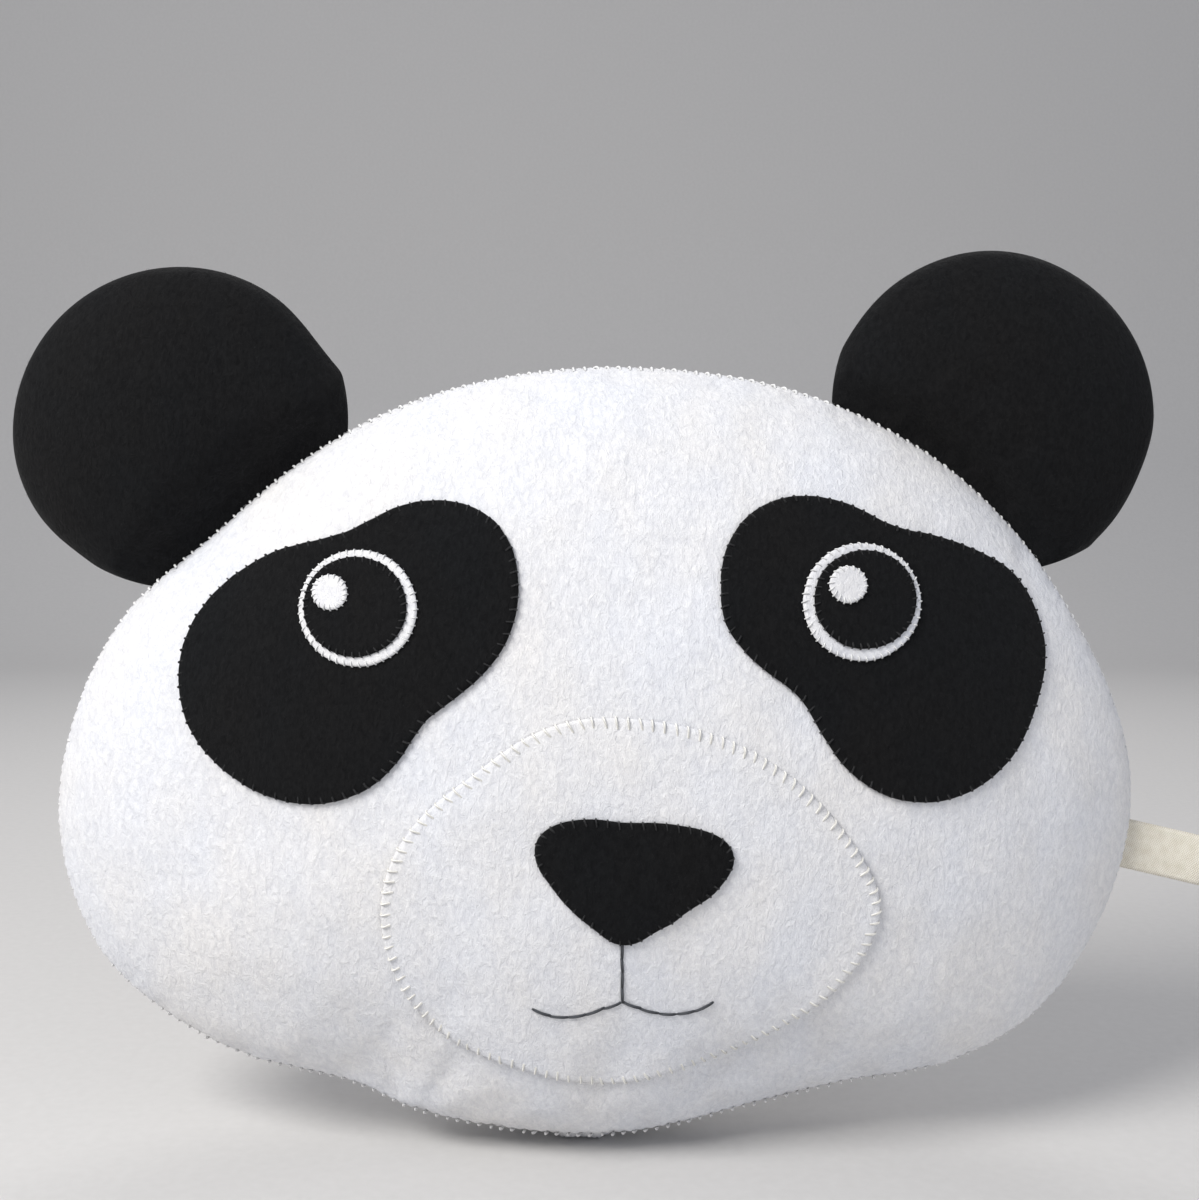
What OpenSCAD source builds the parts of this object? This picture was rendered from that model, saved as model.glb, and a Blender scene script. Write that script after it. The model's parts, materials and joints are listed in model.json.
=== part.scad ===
// A stuffed felt cushion in the shape of a panda's head.
// It stands on its chin: +Z runs up to the ears, -Y is the way the face looks, +X is on the viewer's right.
// Left and right are the viewer's. The seam that joins front and back lies in the plane y = 0,
// apart from the chin, where the weight of the head pushes it forward.

/* [Head] */
// Width of the head from cheek to cheek, which all the outlines follow
head_w = 302; // [290:1:314]
// How far the stuffing pushes the front out from the seam
front_depth = 41.5; // [36:0.5:44]
// How far the stuffing pushes the back out from the seam
back_depth = 44; // [36:0.5:46]
// How far the chin's seam is pushed forward when the head stands
chin_forward = 17; // [14:0.5:18]
// How far the back of the head sags onto the ground behind the chin
back_sag = 20; // [18:0.5:22]

/* [Ears] */
// How far the stuffing pushes each side of an ear out from its seam
ear_depth = 12; // [8:0.5:13]
// Free strip between the head's stitches and the stuffed part of an ear
root_gap = 1.8; // [1.6:0.1:2.5]

/* [Felt] */
// Thickness of the white felt of the head
head_felt = 2; // [1.5:0.1:2]
// Thickness of the black felt of the ears
ear_felt = 1.5; // [1.2:0.1:1.8]
// Thickness of the eye patches, the muzzle and the nose
patch_felt = 2; // [1.5:0.1:2.2]
// Thickness of the white discs and the pupils
disc_felt = 1.5; // [1.2:0.1:1.8]
// Thickness of the small white spots on the pupils
spot_felt = 1; // [0.8:0.1:1.2]

/* [Thread] */
// Radius of the ridge of stitches round the head
seam_stitch_r = 1; // [0.8:0.1:1]
// Radius of the ridge of stitches round a felt piece
edge_stitch_r = 0.6; // [0.4:0.1:0.6]
// Radius of the thread of the mouth
mouth_r = 0.6; // [0.4:0.1:0.7]

/* [Label] */
// Width of the folded cotton tape
label_w = 14; // [10:0.5:16]
// How far the folded tape stands out past its root
label_l = 20; // [14:0.5:22]
// Thickness of one layer of tape
label_t = 0.5; // [0.4:0.1:0.6]
// How far the tape slopes down to the right, in degrees
label_slope = 13; // [0:1:16]

/* [Hidden] */

// Colours of the two felts, the threads and the tape
white_felt = [0.93, 0.93, 0.92];
black_felt = [0.10, 0.10, 0.11];
stuffing_white = [0.97, 0.97, 0.95];
white_thread = [0.93, 0.93, 0.90];
cream_thread = [0.95, 0.93, 0.86];
black_thread = [0.09, 0.09, 0.10];
grey_thread = [0.25, 0.25, 0.27];
cream_tape = [0.90, 0.85, 0.72];

// Every outline is a list of [direction in degrees, reach in mm] about its own middle.
// Directions run from +X towards +Z, and a smooth curve joins the points.
grow = head_w / 302;
head_mid = grow * [-4, 104];
head_edge = [
  [0, 149], [20, 138.5], [40, 129.5], [60, 120.5], [80, 114], [100, 113], [120, 116.5],
  [140, 122.5], [150, 128], [160, 138.5], [172, 147], [186, 153], [200, 150], [210, 139],
  [220, 125.5], [226, 116.5], [232, 110], [240, 107], [250, 103], [260, 100.5], [270, 99.5],
  [280, 99.3], [290, 100], [300, 104], [310, 112], [320, 127], [332, 141.5], [346, 148.5]
];
left_ear_mid = grow * [-119, 197];
left_ear_edge = [
  [0, 51], [14, 49.5], [32, 45.7], [60, 46.8], [90, 47.3], [180, 48], [206, 46.5],
  [230, 43.8], [250, 44.8], [275, 50], [330, 52]
];
right_ear_mid = grow * [103, 201];
right_ear_edge = [
  [0, 46.8], [60, 47.5], [90, 47.7], [123, 46.4], [151, 45.1], [168, 46.8], [190, 50],
  [250, 50], [297, 45.3], [326, 45], [345, 45.4]
];
left_patch_mid = grow * [-70, 142];
left_patch_edge = [
  [0, 41], [17, 47.5], [36, 51.5], [52, 48], [68, 40], [85, 31.5], [104, 29], [125, 31],
  [145, 35], [166, 41], [186, 45.5], [206, 47], [230, 44.5], [255, 41], [280, 36],
  [300, 31], [318, 28], [333, 30], [347, 35]
];
right_patch_mid = grow * [71, 142];
right_patch_edge = [
  [0, 44.5], [14, 43], [28, 40.5], [45, 35.5], [65, 32], [85, 31.5], [98, 35.5], [112, 42],
  [128, 48.5], [144, 50.5], [158, 47.5], [172, 43], [185, 35], [200, 28], [215, 26.5],
  [235, 29], [255, 34], [275, 39], [295, 42.5], [318, 44.2], [340, 44]
];
muzzle_mid = grow * [4, 76];
muzzle_edge = [
  [0, 65], [16, 59.5], [34, 54.5], [60, 50.5], [85, 49.3], [110, 51.5], [140, 53.5],
  [158, 59.5], [176, 64], [200, 64], [216, 61], [238, 53.5], [262, 50.8], [285, 48.5],
  [312, 50.8], [336, 58.5], [348, 63]
];
nose_mid = grow * [5, 83];
nose_edge = [
  [0, 22], [16, 26.3], [30, 25], [50, 20.2], [78, 16.8], [104, 17.2], [125, 21.3],
  [142, 25.8], [155, 27.7], [166, 26], [182, 21], [202, 17.5], [228, 15.4], [252, 16.1],
  [268, 15.5], [292, 13.3], [320, 14], [338, 15.8]
];

// The discs of the eyes: middle, half width and half height, as seen square to the face
left_white = [grow * [-66, 152.5], grow * 15.8, grow * 14.7];
left_pupil_disc = [grow * [-66.4, 152.7], grow * 13.8, grow * 12.6];
left_spot = [grow * [-72.7, 156], grow * 4.9, grow * 4.6];
right_white = [grow * [63.5, 154], grow * 15.8, grow * 14.9];
right_pupil_disc = [grow * [64, 154.5], grow * 13.7, grow * 12.5];
right_spot = [grow * [59, 158.2], grow * 5, grow * 4.7];

// The mouth: one stroke down from the nose, and a curl to each side of it
mouth_fork = grow * [1.8, 52];
mouth_top = grow * [1.8, 64.5];
mouth_curls = [
  [[-1, -1.2], [-5.7, -2.8], [-10, -4.4], [-14.3, -5.1], [-18.5, -4.6], [-22.3, -3]],
  [[1, -1], [5, -2.8], [9, -4.2], [12.5, -4.8], [16, -4.6], [19.5, -3.6], [22.8, -2]]
];

// Half of the gap that is left where two felts meet at a seam
seam_half = 0.15;
head_lip = head_felt + seam_half;
ear_lip = ear_felt + seam_half;
// Clearance between the layers of felt, and of each ridge of stitches from its neighbours
patch_clear = 0.5;
layer_clear = 0.3;
stitch_clear = 0.4;
// Height of the underside of each layer over the felt of the face
patch_up = patch_clear;
disc_up = patch_up + patch_felt + layer_clear;
pupil_up = disc_up + disc_felt + layer_clear;
spot_up = pupil_up + disc_felt + layer_clear;

// How many spokes and which shares of the reach make the surface of a piece
head_spokes = 72;
head_shares = [0.3, 0.52, 0.7, 0.83, 0.91, 0.96, 0.985, 1];
stuffing_shares = [0.3, 0.52, 0.7, 0.83, 0.91];
ear_spokes = 40;
ear_shares = [0.35, 0.62, 0.82, 0.94, 1];
ear_stuffing_shares = [0.35, 0.62, 0.82, 0.93];
patch_spokes = 36;
patch_shares = [0.3, 0.55, 0.78, 1];
disc_spokes = 24;
disc_shares = [0.55, 1];

// An outline's corner number i, counted round and round
function corner(edge, i) =
  let (n = len(edge), turn = floor(i / n))
  edge[i - n * turn] + [360 * turn, 0];

// The last corner that lies at or before a direction
function corner_before(edge, dir) =
  max([for (i = [0:len(edge) - 1]) if (edge[i][0] <= dir) i]);

// A smooth step from corner b to corner c, level with the corners a and d on either side
function smooth(a, b, c, d, dir) =
  let (
    step = c[0] - b[0],
    t = (dir - b[0]) / step,
    rise_b = step * (c[1] - a[1]) / (c[0] - a[0]),
    rise_c = step * (d[1] - b[1]) / (d[0] - b[0])
  )
  (2 * t ^ 3 - 3 * t ^ 2 + 1) * b[1] + (t ^ 3 - 2 * t ^ 2 + t) * rise_b
  + (3 * t ^ 2 - 2 * t ^ 3) * c[1] + (t ^ 3 - t ^ 2) * rise_c;

// Reach of an outline from its middle in any direction
function reach(edge, any_dir) =
  let (dir = any_dir - 360 * floor(any_dir / 360), i = corner_before(edge, dir))
  grow * smooth(corner(edge, i - 1), corner(edge, i), corner(edge, i + 1), corner(edge, i + 2), dir);

// The unit step in a direction of the face
function heading(dir) = [cos(dir), sin(dir)];

// How far stuffing pushes felt out at a share of the reach: 1 in the middle, 0 at the seam
middle_roundness = 2.4;
edge_roundness = 0.72;
function puff(share) = (1 - min(share, 1) ^ middle_roundness) ^ edge_roundness;

// How far the seam and all that hangs on it lie forward at a height over the ground
forward_top = 62;
function forward(z) = chin_forward * max(0, 1 - z / forward_top) ^ 2;

// How far the front felt of the head lies forward of the plane y = 0, at a place on the face
function head_face(at) =
  let (out = at - head_mid, share = norm(out) / reach(head_edge, atan2(out[1], out[0])))
  head_lip + front_depth * puff(share) + forward(at[1]);

// A point over the face, this far up from the front felt
function on_face(at, up) = [at[0], -head_face(at) - up, at[1]];

// All the points of one side of a piece: its middle, then ring by ring
function side(shares, spokes, place) =
  [place(0, 0), for (share = shares, k = [0:spokes - 1]) place(share, 360 * k / spokes)];

// The faces of a solid between two sides with the same rings: front, back and the rim
function side_faces(rings, n) =
  let (q = 1 + rings * n)
  concat(
    [for (k = [0:n - 1]) [0, 1 + (k + 1) % n, 1 + k]],
    [for (k = [0:n - 1]) [q, q + 1 + k, q + 1 + (k + 1) % n]],
    [for (j = [0:rings - 2], k = [0:n - 1]) let (a = 1 + j * n + k, b = 1 + j * n + (k + 1) % n)
      if (rings > 1) [a, b, b + n, a + n]],
    [for (j = [0:rings - 2], k = [0:n - 1]) let (a = q + 1 + j * n + k, b = q + 1 + j * n + (k + 1) % n)
      if (rings > 1) [a, a + n, b + n, b]],
    [for (k = [0:n - 1]) let (a = 1 + (rings - 1) * n + k, b = 1 + (rings - 1) * n + (k + 1) % n)
      [a, b, b + q, a + q]]
  );

// A solid between a front side and a back side
module between(shares, spokes, front, back) {
  polyhedron(
    points = concat(side(shares, spokes, front), side(shares, spokes, back)),
    faces = side_faces(len(shares), spokes),
    convexity = 6
  );
}

// A ridge or thread of radius r along a path that stays roughly in the plane of the face
module rope(path, r, closed) {
  sides = 6;
  n = len(path);
  function before(i) = path[closed ? (i + n - 1) % n : max(i - 1, 0)];
  function after(i) = path[closed ? (i + 1) % n : min(i + 1, n - 1)];
  points = [for (i = [0:n - 1])
    let (
      run = after(i) - before(i),
      across = cross(run, [0, 1, 0]) / norm(cross(run, [0, 1, 0])),
      over = cross(across, run) / norm(run)
    )
    for (k = [0:sides - 1]) path[i] + r * (cos(360 * k / sides) * across + sin(360 * k / sides) * over)
  ];
  rows = closed ? n - 1 : n - 2;
  walls = [for (i = [0:rows], k = [0:sides - 1])
    let (j = (i + 1) % n, m = (k + 1) % sides)
    [i * sides + k, i * sides + m, j * sides + m, j * sides + k]
  ];
  start_cap = [for (k = [sides - 1:-1:0]) k];
  end_cap = [for (k = [0:sides - 1]) (n - 1) * sides + k];
  polyhedron(points = points, faces = closed ? walls : concat(walls, [start_cap, end_cap]), convexity = 6);
}

// A place on the head's outline or inside it
function head_at(share, dir) = head_mid + share * reach(head_edge, dir) * heading(dir);

// A place on the front of the head, this far out from the seam's middle
function front_place(share, dir, out) =
  let (at = head_at(share, dir))
  [at[0], -forward(at[1]) - out - front_depth * puff(share), at[1]];

// A place on the back of the head, where the lowest part sags down to the given height
sag_top = 46;
function back_place(share, dir, out, ground) =
  let (at = head_at(share, dir), sagged = at[1] - back_sag * max(0, 1 - at[1] / sag_top))
  [at[0], out + back_depth * puff(share) - forward(at[1]), share < 1 ? max(sagged, ground) : at[1]];

// Each felt panel of the head is cut to the outline and pushed out by the stuffing
module head_front() {
  color(white_felt)
    between(head_shares, head_spokes,
      function (share, dir) front_place(share, dir, head_lip),
      function (share, dir) front_place(share, dir, seam_half));
}

// The head rests on the flat strip where the back panel sags onto the ground
module head_back() {
  color(white_felt)
    between(head_shares, head_spokes,
      function (share, dir) back_place(share, dir, seam_half, head_felt),
      function (share, dir) back_place(share, dir, head_lip, 0));
}

module head_stuffing() {
  shrink = stitch_clear - seam_half;
  color(stuffing_white)
    between(stuffing_shares, head_spokes,
      function (share, dir) front_place(share, dir, -shrink),
      function (share, dir) back_place(share, dir, -shrink, head_felt + stitch_clear));
}

// The whipstitches that close the head run round the raw edges of the two panels as one ridge
seam_stitch_gap = 0.2;
module head_seam_stitches() {
  out = seam_stitch_r + seam_stitch_gap;
  color(white_thread)
    rope([for (k = [0:head_spokes - 1])
      let (dir = 360 * k / head_spokes, at = head_mid + (reach(head_edge, dir) + out) * heading(dir))
      [at[0], -forward(at[1]), at[1]]], seam_stitch_r, true);
}

// How far a place lies outside the strip where the ears are sewn on
ear_keep_off = 2 * seam_stitch_r + seam_stitch_gap + root_gap;
function off_head(at) =
  let (out = at - head_mid)
  norm(out) - reach(head_edge, atan2(out[1], out[0])) - ear_keep_off;

// Narrows down where a spoke of an ear meets the head
function root_reach(mid, dir, near, far, steps) =
  let (half = (near + far) / 2)
  steps == 0 ? near
  : off_head(mid + half * heading(dir)) > 0 ? root_reach(mid, dir, half, far, steps - 1)
  : root_reach(mid, dir, near, half, steps - 1);

// Reach of an ear: its round outline, cut short along the head
root_steps = 14;
function ear_reach(mid, edge, dir) =
  let (full = reach(edge, dir))
  off_head(mid + full * heading(dir)) > 0 ? full : root_reach(mid, dir, 0, full, root_steps);

// The space between two surfaces of one ear, each at a base height plus the push of the stuffing
module ear_solid(mid, edge, shares, front, front_push, back, back_push) {
  reaches = [for (k = [0:ear_spokes - 1]) ear_reach(mid, edge, 360 * k / ear_spokes)];
  function place(share, dir, base, push) =
    let (at = mid + share * reaches[round(dir * ear_spokes / 360)] * heading(dir))
    [at[0], -base - push * puff(share), at[1]];
  between(shares, ear_spokes,
    function (share, dir) place(share, dir, front, front_push),
    function (share, dir) place(share, dir, back, back_push));
}

module ear_panel(mid, edge) {
  color(black_felt) ear_solid(mid, edge, ear_shares, ear_lip, ear_depth, seam_half, ear_depth);
}

module ear_stuffing(mid, edge) {
  shrink = stitch_clear - seam_half;
  color(stuffing_white)
    ear_solid(mid, edge, ear_stuffing_shares, -shrink, ear_depth, shrink, -ear_depth);
}

module left_ear_front() {
  ear_panel(left_ear_mid, left_ear_edge);
}

module left_ear_back() {
  mirror([0, 1, 0]) ear_panel(left_ear_mid, left_ear_edge);
}

module left_ear_stuffing() {
  ear_stuffing(left_ear_mid, left_ear_edge);
}

module right_ear_front() {
  ear_panel(right_ear_mid, right_ear_edge);
}

module right_ear_back() {
  mirror([0, 1, 0]) ear_panel(right_ear_mid, right_ear_edge);
}

module right_ear_stuffing() {
  ear_stuffing(right_ear_mid, right_ear_edge);
}

// A piece of felt laid over the face inside an outline
module felt_piece(mid, edge, up, thick) {
  function at(share, dir) = mid + share * reach(edge, dir) * heading(dir);
  between(patch_shares, patch_spokes,
    function (share, dir) on_face(at(share, dir), up + thick),
    function (share, dir) on_face(at(share, dir), up));
}

// The ridge of whipstitches round such a piece, lying on what the piece lies on
module felt_piece_stitches(mid, edge, up, rings) {
  out = edge_stitch_r + stitch_clear;
  rope([for (k = [0:rings - 1])
    let (dir = 360 * k / rings)
    on_face(mid + (reach(edge, dir) + out) * heading(dir), up + edge_stitch_r)], edge_stitch_r, true);
}

// A place inside an oval disc, or this far outside its edge
function disc_place(disc, share, dir, out) =
  disc[0] + [(share * disc[1] + out) * cos(dir), (share * disc[2] + out) * sin(dir)];

module felt_disc(disc, up, thick) {
  between(disc_shares, disc_spokes,
    function (share, dir) on_face(disc_place(disc, share, dir, 0), up + thick),
    function (share, dir) on_face(disc_place(disc, share, dir, 0), up));
}

module felt_disc_stitches(disc, up, rings) {
  out = edge_stitch_r + layer_clear;
  rope([for (k = [0:rings - 1]) on_face(disc_place(disc, 1, 360 * k / rings, out), up + edge_stitch_r)],
    edge_stitch_r, true);
}

module left_eye_patch() {
  color(black_felt) felt_piece(left_patch_mid, left_patch_edge, patch_up, patch_felt);
}

module left_eye_patch_stitches() {
  color(black_thread) felt_piece_stitches(left_patch_mid, left_patch_edge, patch_up, 48);
}

module left_eye_white() {
  color(white_felt) felt_disc(left_white, disc_up, disc_felt);
}

module left_eye_white_stitches() {
  color(white_thread) felt_disc_stitches(left_white, disc_up, 32);
}

module left_pupil() {
  color(black_felt) felt_disc(left_pupil_disc, pupil_up, disc_felt);
}

module left_pupil_stitches() {
  color(black_thread) felt_disc_stitches(left_pupil_disc, pupil_up, 32);
}

module left_eye_spot() {
  color(white_felt) felt_disc(left_spot, spot_up, spot_felt);
}

module left_eye_spot_stitches() {
  color(white_thread) felt_disc_stitches(left_spot, spot_up, 20);
}

module right_eye_patch() {
  color(black_felt) felt_piece(right_patch_mid, right_patch_edge, patch_up, patch_felt);
}

module right_eye_patch_stitches() {
  color(black_thread) felt_piece_stitches(right_patch_mid, right_patch_edge, patch_up, 48);
}

module right_eye_white() {
  color(white_felt) felt_disc(right_white, disc_up, disc_felt);
}

module right_eye_white_stitches() {
  color(white_thread) felt_disc_stitches(right_white, disc_up, 32);
}

module right_pupil() {
  color(black_felt) felt_disc(right_pupil_disc, pupil_up, disc_felt);
}

module right_pupil_stitches() {
  color(black_thread) felt_disc_stitches(right_pupil_disc, pupil_up, 32);
}

module right_eye_spot() {
  color(white_felt) felt_disc(right_spot, spot_up, spot_felt);
}

module right_eye_spot_stitches() {
  color(white_thread) felt_disc_stitches(right_spot, spot_up, 20);
}

module muzzle() {
  color(white_felt) felt_piece(muzzle_mid, muzzle_edge, patch_up, patch_felt);
}

module muzzle_stitches() {
  color(cream_thread) felt_piece_stitches(muzzle_mid, muzzle_edge, patch_up, 56);
}

module nose() {
  color(black_felt) felt_piece(nose_mid, nose_edge, disc_up, patch_felt);
}

module nose_stitches() {
  color(black_thread) felt_piece_stitches(nose_mid, nose_edge, disc_up, 40);
}

// The backstitched mouth lies on the muzzle: a stroke down from the nose and two curls
module mouth_stitches() {
  up = disc_up + mouth_r;
  steps = 5;
  color(grey_thread) {
    rope([for (k = [0:steps]) on_face(mouth_top + (mouth_fork - mouth_top) * k / steps, up)], mouth_r, false);
    for (curl = mouth_curls)
      rope([for (p = curl) on_face(mouth_fork + grow * p, up)], mouth_r, false);
  }
}

// A strip of cotton tape folded in two, its fold at the free end and its raw ends at the seam
label_middle_z = grow * 82.5;
cheek_reach = reach(head_edge, -8);
label_dir = atan2(label_middle_z - head_mid[1], cheek_reach);
label_root = [head_mid[0] + (reach(head_edge, label_dir) + ear_keep_off) * cos(label_dir), label_middle_z];
module label() {
  half = label_t + seam_half;
  fold = label_l - half;
  color(cream_tape)
    translate([label_root[0], 0, label_root[1]])
      rotate([0, label_slope, 0])
        translate([0, 0, -label_w / 2])
          linear_extrude(label_w)
            difference() {
              union() {
                translate([0, -half]) square([fold, 2 * half]);
                translate([fold, 0]) circle(r = half, $fn = 24);
              }
              translate([-1, -seam_half]) square([fold + 1, 2 * seam_half]);
              translate([fold, 0]) circle(r = seam_half, $fn = 16);
            }
}

head_front();
head_back();
head_stuffing();
head_seam_stitches();
left_ear_front();
left_ear_back();
left_ear_stuffing();
right_ear_front();
right_ear_back();
right_ear_stuffing();
left_eye_patch();
left_eye_patch_stitches();
left_eye_white();
left_eye_white_stitches();
left_pupil();
left_pupil_stitches();
left_eye_spot();
left_eye_spot_stitches();
right_eye_patch();
right_eye_patch_stitches();
right_eye_white();
right_eye_white_stitches();
right_pupil();
right_pupil_stitches();
right_eye_spot();
right_eye_spot_stitches();
muzzle();
muzzle_stitches();
nose();
nose_stitches();
mouth_stitches();
label();
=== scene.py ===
import json
from math import pi, radians

import bpy
import numpy as np
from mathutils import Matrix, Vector, noise
from mathutils.bvhtree import BVHTree
from mathutils.geometry import delaunay_2d_cdt


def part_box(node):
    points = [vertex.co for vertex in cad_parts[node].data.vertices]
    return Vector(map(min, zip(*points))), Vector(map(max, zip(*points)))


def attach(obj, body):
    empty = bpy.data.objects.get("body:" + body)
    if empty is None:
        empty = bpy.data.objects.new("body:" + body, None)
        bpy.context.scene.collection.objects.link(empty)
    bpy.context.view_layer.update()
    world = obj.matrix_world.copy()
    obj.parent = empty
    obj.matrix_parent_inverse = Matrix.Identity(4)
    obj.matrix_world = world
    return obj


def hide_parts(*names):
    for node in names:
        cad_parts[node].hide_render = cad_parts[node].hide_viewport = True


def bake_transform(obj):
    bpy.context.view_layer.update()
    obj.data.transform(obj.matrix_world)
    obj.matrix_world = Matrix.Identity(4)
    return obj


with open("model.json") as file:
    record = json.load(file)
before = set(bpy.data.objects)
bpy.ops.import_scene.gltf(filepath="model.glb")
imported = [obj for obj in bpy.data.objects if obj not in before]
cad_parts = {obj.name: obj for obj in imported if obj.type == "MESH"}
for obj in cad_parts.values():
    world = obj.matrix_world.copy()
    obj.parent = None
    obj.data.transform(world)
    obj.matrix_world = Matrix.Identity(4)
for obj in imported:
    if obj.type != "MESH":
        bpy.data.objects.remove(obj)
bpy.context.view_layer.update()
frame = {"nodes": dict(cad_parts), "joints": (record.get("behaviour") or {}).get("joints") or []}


# ---- Camera, floor and light ----
# The cushion sits on a plain pale floor that curves up behind it. A large soft light
# stands at the upper left, a weaker one at the right, and a faint one lies behind.

eye = bpy.data.cameras.new("camera")
eye.lens = 48.2
eye.sensor_width = 36
eye.clip_start = 0.01
camera = bpy.data.objects.new("camera", eye)
camera.location = (-0.004, -0.4486, 0.1875)
camera.rotation_euler = (radians(90 - 4.5), 0, 0)
bpy.context.scene.collection.objects.link(camera)
bpy.context.scene.camera = camera


def add_mesh(name, points, faces, material=None):
    """A new mesh object at the origin, with its place in its points."""
    mesh = bpy.data.meshes.new(name)
    mesh.from_pydata([tuple(p) for p in points], [], [tuple(f) for f in faces])
    mesh.polygons.foreach_set("use_smooth", np.ones(len(mesh.polygons), bool))
    if material:
        mesh.materials.append(material)
    mesh.update()
    made = bpy.data.objects.new(name, mesh)
    bpy.context.scene.collection.objects.link(made)
    return made


def add_node(tree, kind, inputs=(), **settings):
    """A new node. Each input gets a value, or the output that feeds it."""
    made = tree.nodes.new(kind)
    for setting, choice in settings.items():
        setattr(made, setting, choice)
    for socket, given in dict(inputs).items():
        if isinstance(given, bpy.types.NodeSocket):
            tree.links.new(given, made.inputs[socket])
        else:
            made.inputs[socket].default_value = given
    return made


def new_finish(name, rough, shine=0.5, sheen=0.0):
    """A new finish: the material, its nodes, and its surface."""
    made = bpy.data.materials.new(name)
    made.use_nodes = True
    skin = made.node_tree.nodes["Principled BSDF"]
    skin.inputs["Roughness"].default_value = rough
    skin.inputs["Specular IOR Level"].default_value = shine
    skin.inputs["Sheen Weight"].default_value = sheen
    return made, made.node_tree, skin


def place_on(tree):
    """Each point's own place on the object."""
    return add_node(tree, "ShaderNodeTexCoord").outputs["Object"]


def grain(tree, place, scale, detail=2, rough=0.5, twist=0):
    """A clouded grey, finer as its scale grows."""
    return add_node(tree, "ShaderNodeTexNoise", {
        "Vector": place, "Scale": scale, "Detail": detail, "Roughness": rough, "Distortion": twist,
    }).outputs["Fac"]


def toned(tree, shade, deep, pale, low=0.0, high=1.0):
    """A grey shade turned into a tone between two colours."""
    ramp = add_node(tree, "ShaderNodeValToRGB", {"Fac": shade})
    for stop, place, colour in zip(ramp.color_ramp.elements, (low, high), (deep, pale)):
        stop.position, stop.color = place, (*colour, 1)
    return ramp.outputs["Color"]


def dress(tree, skin, colour, relief=None):
    """Lays a colour, and a relief if there is one, on a finish."""
    tree.links.new(colour, skin.inputs["Base Color"])
    if relief is not None:
        tree.links.new(relief.outputs["Normal"], skin.inputs["Normal"])


paper, paper_nodes, paper_skin = new_finish("pale_paper", 0.9, 0.2)
paper_grain = grain(paper_nodes, place_on(paper_nodes), 300)
paper_tone = toned(paper_nodes, paper_grain, (0.58, 0.57, 0.56), (0.63, 0.62, 0.61))
dress(paper_nodes, paper_skin, paper_tone)

floor_back = 1.1
floor_curve = 0.5
sweep = [(-2.5, 0.0)] + [
    (floor_back + floor_curve * np.sin(turn), floor_curve * (1 - np.cos(turn)))
    for turn in np.linspace(0, pi / 2, 25)
] + [(floor_back + floor_curve, 2.5)]
backdrop = add_mesh(
    "floor",
    [(x, y, z) for y, z in sweep for x in (-2.5, 2.5)],
    [(2 * i, 2 * i + 1, 2 * i + 3, 2 * i + 2) for i in range(len(sweep) - 1)],
    paper,
)

middle_of_face = Vector((0, 0, 0.11))
for name, place, size, power, colour in (
    ("key_light", (-0.75, -0.75, 1.05), 0.7, 19.5, (1.0, 0.985, 0.96)),
    ("fill_light", (0.95, -0.9, 0.45), 0.9, 3.2, (0.93, 0.95, 1.0)),
    ("back_light", (0.1, 0.8, 0.95), 0.8, 4.0, (1.0, 0.98, 0.96)),
):
    glow = bpy.data.lights.new(name, "AREA")
    glow.shape = "DISK"
    glow.size = size
    glow.energy = power
    glow.color = colour
    lamp = bpy.data.objects.new(name, glow)
    lamp.location = place
    lamp.rotation_euler = (middle_of_face - Vector(place)).to_track_quat("-Z", "Y").to_euler()
    bpy.context.scene.collection.objects.link(lamp)

room = bpy.data.worlds.new("room")
room.use_nodes = True
room.node_tree.nodes["Background"].inputs["Color"].default_value = (0.86, 0.9, 1.0, 1)
room.node_tree.nodes["Background"].inputs["Strength"].default_value = 0.38
bpy.context.scene.world = room
bpy.context.scene.view_settings.view_transform = "Standard"


# ---- Head: front and back panels ----
# Two panels of 1.8 mm white wool felt, cut to the same outline and laid edge to edge.
# The stuffing swells them into a full cushion that lies flat only under the chin.

stitch_pitch = 0.0031
head_felt = 0.0018
head_rim = 0.00012
head_net = 0.0045
# (how far inside the edge, one point to every so many of the edge's)
head_insets = ((0.0009, 1), (0.0022, 1), (0.0042, 2))


def felt(name, pale, deep, tints, sheen, blotch=620):
    """Wool felt: a matted nap, clouded in tone, with fine fibres lying every way."""
    made, tree, skin = new_finish(name, 0.95, 0.12, sheen)
    skin.inputs["Sheen Roughness"].default_value = 0.45
    lie = add_node(
        tree, "ShaderNodeMapping", {"Vector": place_on(tree), "Scale": (1, 0.8, 0.6)}
    ).outputs["Vector"]
    cloud = grain(tree, lie, blotch, 4, 0.65, 0.6)
    hair = grain(tree, lie, 2600, 3, 0.7, 1.5)
    drift = grain(tree, lie, 38, 2, 0.6)
    colour = toned(tree, cloud, deep, pale, 0.3, 0.66)
    for layer in (
        toned(tree, drift, *tints, 0.35, 0.65),
        toned(tree, hair, (0.86, 0.86, 0.86), (1, 1, 1), 0.32, 0.62),
    ):
        colour = add_node(
            tree, "ShaderNodeMix", {"Factor": 1, "A": colour, "B": layer},
            data_type="RGBA", blend_type="MULTIPLY",
        ).outputs["Result"]
    nap = add_node(
        tree, "ShaderNodeBump", {"Strength": 0.65, "Distance": 0.0009, "Height": cloud}
    )
    fuzz = add_node(tree, "ShaderNodeBump", {
        "Strength": 0.5, "Distance": 0.00025, "Height": hair, "Normal": nap.outputs["Normal"],
    })
    dress(tree, skin, colour, fuzz)
    return made


white_felt = felt(
    "white_felt", (0.9, 0.9, 0.91), (0.75, 0.755, 0.785),
    ((1.0, 0.985, 0.965), (0.965, 0.975, 1.0)), 0.25,
)


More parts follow.
